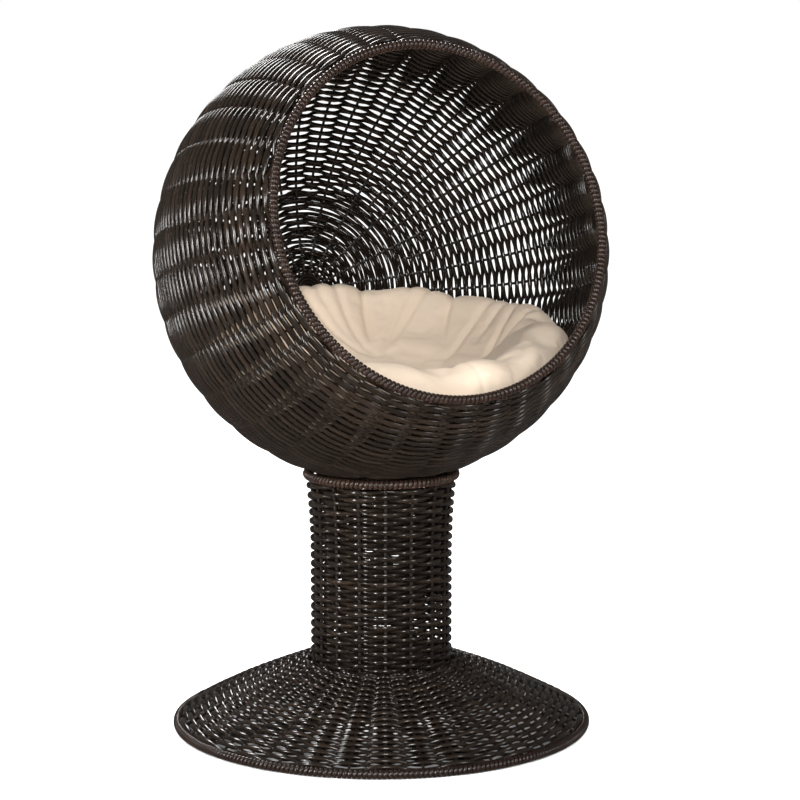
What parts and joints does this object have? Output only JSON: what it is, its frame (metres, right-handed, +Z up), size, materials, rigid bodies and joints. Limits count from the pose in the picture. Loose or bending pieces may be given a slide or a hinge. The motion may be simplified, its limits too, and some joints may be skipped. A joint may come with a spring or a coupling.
{
  "type": "wicker pet bed basket",
  "caption": "Woven ball on a woven column and flared base, with a tilted round mouth and a stuffed dished cushion inside, for a small pet to sleep in.",
  "frame": {"origin": "the middle of the base, on the floor, under the column's axis", "axes": "+Z up along the column, the mouth faces -Y and is tilted upwards, +X to the right seen from the front"},
  "size_m": [0.46, 0.4448, 0.712],
  "materials": {
    "wicker": "glossy dark espresso resin strand",
    "wicker_wrap": "glossy dark espresso resin strand, slightly redder",
    "stake_wire": "dark brown coated wire",
    "frame_steel": "dark brown powder coat",
    "zinc_steel": "zinc plated",
    "cushion_fabric": "soft cream woven polyester",
    "cushion_fill": "white polyester fibre"
  },
  "bodies": {
    "basket": {"ball_back_hub": "wicker", "ball_bolt_nuts": "zinc_steel", "ball_bolt_washers": "zinc_steel", "ball_bolts": "zinc_steel", "ball_mount_plate": "frame_steel", "ball_rim_hoop": "frame_steel", "ball_rim_wrap": "wicker_wrap", "ball_stakes": "stake_wire", "ball_wicker": "wicker", "base_bolt_nuts": "zinc_steel", "base_bolt_washers": "zinc_steel", "base_bolts": "zinc_steel", "base_border": "wicker_wrap", "base_collar_ring": "frame_steel", "base_cross_bars": "frame_steel", "base_outer_hoop": "frame_steel", "base_stakes": "stake_wire", "base_wicker": "wicker", "column_cage_foot_ring": "frame_steel", "column_cage_rods": "frame_steel", "column_cage_top_ring": "frame_steel", "column_foot_bracket": "frame_steel", "column_stakes": "stake_wire", "column_top_border": "wicker_wrap", "column_top_bracket": "frame_steel", "column_top_hoop": "frame_steel", "column_wicker": "wicker"},
    "cushion": {"cushion_cover": "cushion_fabric", "cushion_filling": "cushion_fill"}
  },
  "joints": [
    {"name": "cushion_lift", "type": "slide", "parent": "basket", "child": "cushion", "axis": [0, 0, 1], "range_m": [0, 0.08]}
  ]
}
